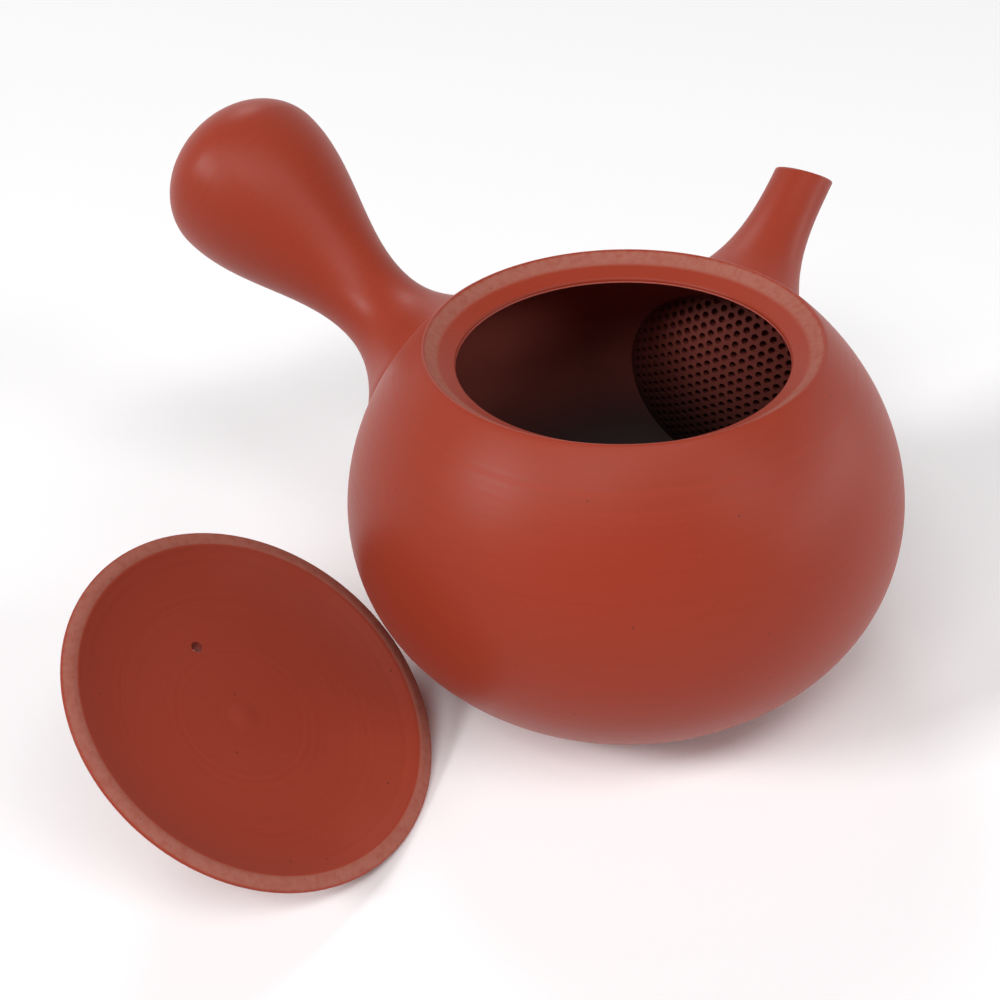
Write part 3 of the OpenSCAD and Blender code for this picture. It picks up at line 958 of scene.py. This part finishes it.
class TEAPOT_OT_stage(bpy.types.Operator):
    """Set up the pale table, the six softboxes, the room light and the camera"""

    bl_idname = "teapot.set_stage"
    bl_label = "Set the stage"

    def execute(self, context):
        stage = context.scene.teapot.stage
        self.table(stage)
        for side in SOFTBOXES:
            self.softbox(stage, side)
        self.room(context.scene, stage)
        self.camera(context.scene, stage)
        context.scene.view_settings.view_transform = "Standard"
        return {"FINISHED"}

    def table(self, stage):
        """The round table under the pot."""
        bm = bmesh.new()
        bmesh.ops.create_circle(bm, cap_ends=True, segments=stage.table_turns, radius=stage.table_r)
        table = as_object(bm, "pale_table")
        table.data.materials.append(self.pale_cloth(stage))

    def pale_cloth(self, stage):
        """Pale woven cloth, which goes over into the white of the room far from the pot."""
        bench = Bench(bpy.data.materials.new("pale_cloth"))
        spot = bench.node("ShaderNodeTexCoord", output="Object")
        weave = bench.noise(spot, scale=900, detail=2)
        colour = bench.tint(tuple(stage.table), 1 + weave * 0.01)
        inputs = {"Base Color": colour, "Roughness": 0.9, "Specular IOR Level": 0.1}
        cloth = bench.node("ShaderNodeBsdfPrincipled", {}, inputs)
        white = bench.node("ShaderNodeEmission", {}, {"Color": (1, 1, 1, 1), "Strength": 1.0})
        camera = bench.node("ShaderNodeLightPath", output="Is Camera Ray")
        far = bench.ramp(from_axis(bench, spot), stage.table_near, stage.table_r) * camera
        both = bench.node("ShaderNodeMixShader", {}, {0: far, 1: cloth, 2: white})
        bench.node("ShaderNodeOutputMaterial", {}, {"Surface": both})
        return bench.owner

    def softbox(self, stage, side):
        """A softbox that faces the pot."""
        watts, bearing, rise, wide, tall = (getattr(stage, name) for name in SOFTBOXES[side])
        lamp = bpy.data.lights.new(f"{side}_softbox", "AREA")
        lamp.shape = "RECTANGLE"
        lamp.size = wide
        lamp.size_y = tall
        lamp.energy = watts
        made = bpy.data.objects.new(lamp.name, lamp)
        level = stage.lamp_away * math.cos(rise)
        height = stage.lamp_away * math.sin(rise)
        made.location = (level * math.cos(bearing), level * math.sin(bearing), height)
        made.rotation_euler = (-Vector(made.location)).to_track_quat("-Z", "Y").to_euler()
        bpy.context.scene.collection.objects.link(made)

    def room(self, scene, stage):
        """Faint light from all round, which the camera and mirror-like surfaces see as white."""
        world = bpy.data.worlds.new("pale_room")
        scene.world = world
        bench = Bench(world)
        camera = bench.node("ShaderNodeLightPath", output="Is Camera Ray")
        through = bench.node("ShaderNodeLightPath", output="Is Transmission Ray")
        mirrored = bench.node("ShaderNodeLightPath", output="Is Glossy Ray")
        straight = bench.node("ShaderNodeMath", {"operation": "MAXIMUM"}, {0: camera, 1: through})
        seen = bench.node("ShaderNodeMath", {"operation": "MAXIMUM"}, {0: straight, 1: mirrored})
        strength = seen * (1 - stage.sky) + stage.sky
        light = bench.node("ShaderNodeBackground", {}, {"Color": (1, 1, 1, 1), "Strength": strength})
        bench.node("ShaderNodeOutputWorld", {}, {"Surface": light})

    def camera(self, scene, stage):
        """The camera, where the photograph was taken from."""
        lens = bpy.data.cameras.new("camera")
        lens.sensor_width = stage.sensor
        lens.lens = stage.lens
        made = bpy.data.objects.new("camera", lens)
        across, away = math.sin(stage.camera_bearing), math.cos(stage.camera_bearing)
        stand = Matrix.Translation((away * stage.camera_away, across * stage.camera_away, stage.camera_z))
        turn = Matrix.Rotation(stage.heading - math.pi / 2, 4, "Z")
        down = Matrix.Rotation(math.pi / 2 - stage.tilt, 4, "X")
        made.matrix_world = stand @ turn @ down @ Matrix.Rotation(stage.roll, 4, "Z")
        scene.collection.objects.link(made)
        scene.camera = made


class TEAPOT_PT_panel(bpy.types.Panel):
    """The teapot's sizes and the steps that make it"""

    bl_idname = "TEAPOT_PT_panel"
    bl_label = "Side-handled teapot"
    bl_space_type = "VIEW_3D"
    bl_region_type = "UI"
    bl_category = "Teapot"

    def draw(self, context):
        for step in STEPS:
            self.layout.operator(step.bl_idname)
        settings = context.scene.teapot
        for part in TeapotSettings.__annotations__:
            group = getattr(settings, part)
            box = self.layout.box()
            for name in group.__annotations__:
                box.prop(group, name)


STEPS = (
    TEAPOT_OT_body,
    TEAPOT_OT_spout,
    TEAPOT_OT_handle,
    TEAPOT_OT_strainer,
    TEAPOT_OT_lid,
    TEAPOT_OT_knob,
    TEAPOT_OT_stage,
)
CLASSES = (
    BodySizes,
    SpoutSizes,
    HandleSizes,
    LidSizes,
    ClayLooks,
    StageLooks,
    TeapotSettings,
    *STEPS,
    TEAPOT_PT_panel,
)


def register():
    """Makes the teapot's settings and steps known."""
    for made in CLASSES:
        bpy.utils.register_class(made)
    bpy.types.Scene.teapot = PointerProperty(type=TeapotSettings)


def unregister():
    """Takes them away again."""
    del bpy.types.Scene.teapot
    for made in reversed(CLASSES):
        bpy.utils.unregister_class(made)


def main():
    """Makes the teapot and its stage."""
    register()
    bpy.ops.teapot.throw_body()
    bpy.ops.teapot.pull_spout()
    bpy.ops.teapot.throw_handle()
    bpy.ops.teapot.dress_strainer()
    bpy.ops.teapot.throw_lid()
    bpy.ops.teapot.turn_knob()
    bpy.ops.teapot.set_stage()


if __name__ == "__main__":
    main()
